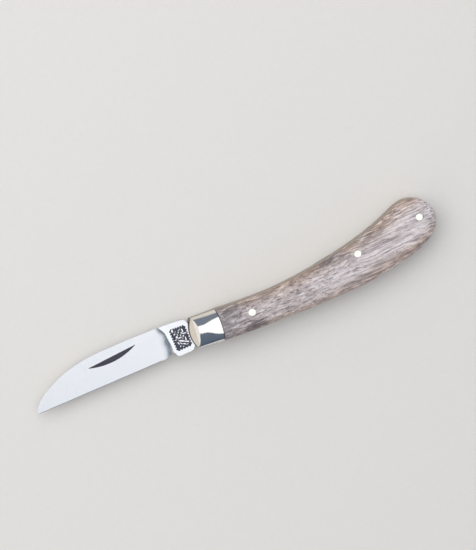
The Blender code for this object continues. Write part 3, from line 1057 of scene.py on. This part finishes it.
def horn():
    """Grey horn: pale in its middle, tan along its rims, with dark fibres and a few cracks."""
    recipe = Finish("scale_horn")
    parts = recipe.add("SeparateXYZ", {0: recipe.place})
    x, y, z = (parts.outputs[axis] for axis in "XYZ")

    # The fibres run along the knife and wander a little.
    wander = recipe.math("MULTIPLY", recipe.noise((0.05, 0.12, 0.12), detail=2.0), 3.0)
    fibre = recipe.add("CombineXYZ", {0: x, 1: recipe.math("ADD", y, wander), 2: z}).outputs[0]
    broad = recipe.noise((0.04, 0.2, 0.2), detail=4.0, roughness=0.6, place=fibre)
    streaks = recipe.noise((0.16, 1.1, 1.1), detail=5.0, roughness=0.7, place=fibre)
    flecks = recipe.noise((0.42, 1.9, 1.9), detail=4.0, roughness=0.75, distortion=0.6, place=fibre)
    grain = recipe.noise((0.055, 1.5, 1.5), detail=4.0, roughness=0.7, place=fibre)
    toward_butt = recipe.remap(x, 35.0, 70.0)

    # How far a point is from the middle line of the handle, in half widths: 1 at the back.
    from_middle = recipe.math("SUBTRACT", x, 30.0)
    line = recipe.math("MULTIPLY", recipe.math("MULTIPLY", from_middle, from_middle), 0.0026)
    off_middle = recipe.math("SUBTRACT", y, recipe.math("SUBTRACT", line, 0.75))
    half_width = recipe.remap(x, 10.0, 85.0, 5.9, 8.8, smooth=False)
    off_share = recipe.math("DIVIDE", off_middle, half_width)
    ragged = recipe.math("MULTIPLY", recipe.math("SUBTRACT", streaks, 0.5), 0.9)
    rim_share = recipe.math("ADD", recipe.math("ABSOLUTE", off_share), ragged)

    pale = recipe.mix(recipe.remap(broad, 0.36, 0.62), rgb(0.52, 0.455, 0.45), rgb(0.74, 0.68, 0.7))
    paleness = recipe.remap(streaks, 0.36, 0.64)
    back_tan = recipe.mix(paleness, rgb(0.21, 0.145, 0.11), rgb(0.5, 0.37, 0.3))
    belly_tan = recipe.mix(paleness, rgb(0.34, 0.24, 0.19), rgb(0.72, 0.56, 0.48))
    tan = recipe.mix(recipe.remap(off_share, -0.3, 0.3), belly_tan, back_tan)
    colour = recipe.mix(recipe.remap(rim_share, 0.3, 0.95), pale, tan)

    # Dark patches: centre, reach along and across the fibres, strength and shade.
    patches = [
        ((4.0, 0.0), (15.0, 16.0), 0.85, rgb(0.235, 0.215, 0.23)),
        ((8.0, 4.6), (6.0, 1.8), 0.6, rgb(0.12, 0.105, 0.11)),
        ((16.5, -4.6), (6.5, 2.4), 0.85, rgb(0.11, 0.09, 0.09)),
        ((15.5, -1.6), (6.0, 2.0), 0.5, rgb(0.2, 0.175, 0.18)),
        ((20.0, 4.6), (10.0, 2.0), 0.5, rgb(0.2, 0.15, 0.13)),
        ((25.0, -3.0), (8.0, 4.5), 0.4, rgb(0.27, 0.23, 0.22)),
        ((51.5, 6.6), (9.0, 2.6), 0.85, rgb(0.12, 0.105, 0.11)),
        ((66.0, 9.9), (11.0, 1.6), 0.7, rgb(0.15, 0.12, 0.1)),
    ]
    fringe = recipe.math("MULTIPLY", recipe.math("SUBTRACT", streaks, 0.5), 1.6)
    for centre, reach, strength, shade in patches:
        scale = (1.0 / reach[0], 1.0 / reach[1], 0.0)
        offset = (-centre[0] / reach[0], -centre[1] / reach[1], 0.0)
        away = recipe.distance(recipe.mapped(recipe.place, scale, offset))
        dark = recipe.remap(recipe.math("ADD", away, fringe), 0.2, 1.1, strength, 0.0)
        colour = recipe.mix(dark, colour, shade)

    colour = recipe.mix(recipe.remap(streaks, 0.34, 0.52, 0.6, 0.0), colour, rgb(0.17, 0.14, 0.14))
    colour = recipe.mix(recipe.remap(streaks, 0.53, 0.66, 0.0, 0.5), colour, rgb(0.86, 0.82, 0.83))
    spotted = recipe.remap(x, 40.0, 75.0, 1.0, 0.45)
    dark_flecks = recipe.math("MULTIPLY", recipe.remap(flecks, 0.36, 0.5, 0.9, 0.0), spotted)
    pale_flecks = recipe.math("MULTIPLY", recipe.remap(flecks, 0.55, 0.67, 0.0, 0.45), spotted)
    colour = recipe.mix(dark_flecks, colour, rgb(0.11, 0.09, 0.095))
    colour = recipe.mix(pale_flecks, colour, rgb(0.82, 0.77, 0.77))
    dark_grain = recipe.math("MULTIPLY", recipe.remap(grain, 0.36, 0.5, 0.75, 0.0), toward_butt)
    pale_grain = recipe.math("MULTIPLY", recipe.remap(grain, 0.52, 0.64, 0.0, 0.6), toward_butt)
    colour = recipe.mix(dark_grain, colour, rgb(0.2, 0.17, 0.175))
    colour = recipe.mix(pale_grain, colour, rgb(0.85, 0.81, 0.83))

    # Cracks run where a wandering noise crosses its middle value.
    veins = recipe.noise((0.06, 0.34, 0.34), detail=3.0, roughness=0.6, distortion=0.6, place=fibre)
    from_vein = recipe.math("ABSOLUTE", recipe.math("SUBTRACT", veins, 0.5))
    broken = recipe.remap(recipe.noise((0.12, 0.5, 0.5), detail=3.0), 0.48, 0.6)
    cracks = recipe.math("MULTIPLY", recipe.remap(from_vein, 0.003, 0.012, 1.0, 0.0), broken)
    cracks = recipe.math("MULTIPLY", cracks, toward_butt)
    colour = recipe.mix(recipe.math("MULTIPLY", cracks, 0.75), colour, rgb(0.09, 0.075, 0.08))

    relief = recipe.math("ADD", streaks, recipe.math("MULTIPLY", flecks, 0.6))
    relief = recipe.math("SUBTRACT", relief, recipe.math("MULTIPLY", cracks, 0.5))
    return recipe.done(
        Base_Color=colour,
        Roughness=recipe.remap(streaks, 0.3, 0.7, 0.62, 0.46),
        Normal=recipe.bump(relief, 0.1),
    )


def paper():
    """Pale studio paper."""
    recipe = Finish("studio_paper")
    fibres = recipe.noise((0.8, 0.8, 0.8), detail=4.0)
    colour = recipe.mix(fibres, rgb(0.7, 0.685, 0.66), rgb(0.74, 0.725, 0.7))
    return recipe.done(Base_Color=colour, Roughness=0.85, Normal=recipe.bump(fibres, 0.02))


# Studio: places are millimetres in the design frame

VIEW_TURN = 22.48
VIEW_LEAN = (-0.12, 0.12)
VIEW_CENTRE = Vector((17.04, 14.81, 2.0))
VIEW_LONG_SIDE = 202.11
LENS = 135.0
SENSOR = 36.0
FLOOR_HALF = 3000.0
FLOOR_GAP = 0.02

# The overhead panel as the knife sees it. Lengths are parts of a unit direction.
OVERHEAD_TURN = -16.0
OVERHEAD_OFFSET = 0.086
OVERHEAD_HALF_WIDTHS = (0.1, 0.258)
OVERHEAD_FADE = (-0.55, -0.1)
OVERHEAD_END = (0.49, 0.51)
OVERHEAD_EDGE = 0.012


def to_world(point):
    return TO_WORLD @ Vector(point)


def make_camera():
    """Looks almost straight down, turned in the picture and leaning to the point and the back."""
    turn = math.radians(VIEW_TURN)
    back = Vector((*VIEW_LEAN, 1.0)).normalized()
    up = Vector((math.sin(turn), math.cos(turn), 0.0))
    up = (up - back * up.dot(back)).normalized()
    right = up.cross(back)
    data = bpy.data.cameras.new("camera")
    data.lens = LENS
    data.sensor_width = SENSOR
    data.clip_start = 0.01
    camera = bpy.data.objects.new("camera", data)
    bpy.context.scene.collection.objects.link(camera)
    pose = Matrix((right, up, back)).transposed().to_4x4()
    pose.translation = to_world(VIEW_CENTRE) + back * VIEW_LONG_SIDE * MM * LENS / SENSOR
    camera.matrix_world = pose
    bpy.context.scene.camera = camera


def make_softbox(name, centre, size, radiance, colour):
    """A rectangular light of a given radiance that faces the knife and leaves the metal alone."""
    data = bpy.data.lights.new(name, "AREA")
    data.shape = "RECTANGLE"
    data.size, data.size_y = (length * MM for length in size)
    data.energy = radiance * math.pi * data.size * data.size_y
    data.color = colour
    light = bpy.data.objects.new(name, data)
    bpy.context.scene.collection.objects.link(light)
    away = Vector(centre).normalized()
    side = Vector((0.0, 1.0, 0.0)).cross(away).normalized()
    pose = Matrix((side, away.cross(side), away)).transposed().to_4x4()
    pose.translation = to_world(centre)
    light.matrix_world = pose
    light.visible_glossy = False


def make_world():
    """A dim blue grey room with an overhead panel, and pale walls at the butt, back and point."""
    world = bpy.data.worlds.new("studio")
    world.use_nodes = True
    room = Recipe(world.node_tree)
    direction = room.add("TexCoord").outputs["Generated"]
    parts = room.add("SeparateXYZ", {0: direction})
    to_butt, to_back, height = (parts.outputs[axis] for axis in "XYZ")
    ceiling = rgb(0.13, 0.165, 0.225)
    dim = room.mix(room.remap(height, 0.0, 0.9), rgb(0.07, 0.1, 0.15), ceiling)
    butt_wall = room.mix(room.remap(height, 0.3, 0.65), rgb(0.62, 0.62, 0.62), ceiling)
    dim = room.mix(room.remap(to_butt, 0.3, 0.6), dim, butt_wall)
    back_wall = room.mix(room.remap(height, 0.3, 0.55), rgb(0.72, 0.66, 0.6), rgb(0.2, 0.235, 0.3))
    colour = room.mix(room.remap(to_back, 0.0, 0.35), dim, back_wall)
    point_wall = room.mix(room.remap(height, 0.15, 0.6), rgb(1.15, 1.12, 1.1), rgb(0.76, 0.7, 0.63))
    colour = room.mix(room.remap(to_butt, -0.68, -0.56, 1.0, 0.0), colour, point_wall)

    # The overhead panel is crisp along its sides and at its butt end, and fades out to the point.
    turn = math.radians(OVERHEAD_TURN)
    along = room.dot(direction, (math.cos(turn), math.sin(turn), 0.0))
    across = room.dot(direction, (-math.sin(turn), math.cos(turn), 0.0))
    half_width = room.remap(along, *OVERHEAD_FADE, *OVERHEAD_HALF_WIDTHS, smooth=False)
    off_axis = room.math("ABSOLUTE", room.math("ADD", across, OVERHEAD_OFFSET))
    past_side = room.math("SUBTRACT", off_axis, half_width)
    share = room.remap(past_side, -OVERHEAD_EDGE, OVERHEAD_EDGE, 1.0, 0.0)
    share = room.math("MULTIPLY", share, room.remap(along, *OVERHEAD_FADE))
    share = room.math("MULTIPLY", share, room.remap(along, *OVERHEAD_END, 1.0, 0.0))
    share = room.math("MULTIPLY", share, room.remap(height, 0.3, 0.5))
    colour = room.mix(share, colour, rgb(1.3, 1.3, 1.3))
    room.fill(world.node_tree.nodes["Background"], {"Color": colour})
    bpy.context.scene.world = world


def make_studio():
    mesh = bmesh.new()
    corners = [(-1, -1), (1, -1), (1, 1), (-1, 1)]
    drop = -CROWN - FLOOR_GAP
    mesh.faces.new([mesh.verts.new((x * FLOOR_HALF, y * FLOOR_HALF, drop)) for x, y in corners])
    floor = new_object("studio_floor", mesh)
    floor.data.transform(TO_WORLD)
    floor.data.materials.append(paper())
    make_world()
    make_softbox(
        "window",
        centre=(-350.0, 600.0, 1200.0),
        size=(1700.0, 1500.0),
        radiance=2.3,
        colour=(1.0, 0.985, 0.96),
    )
    bpy.context.scene.view_settings.view_transform = "Standard"


make_camera()
make_studio()
make_blade()
make_spring()
for side_name, side in SIDES:
    make_liner(side_name, side)
    make_bolster(side_name, side)
    make_scale(side_name, side)
make_pins()
finish_rivets()
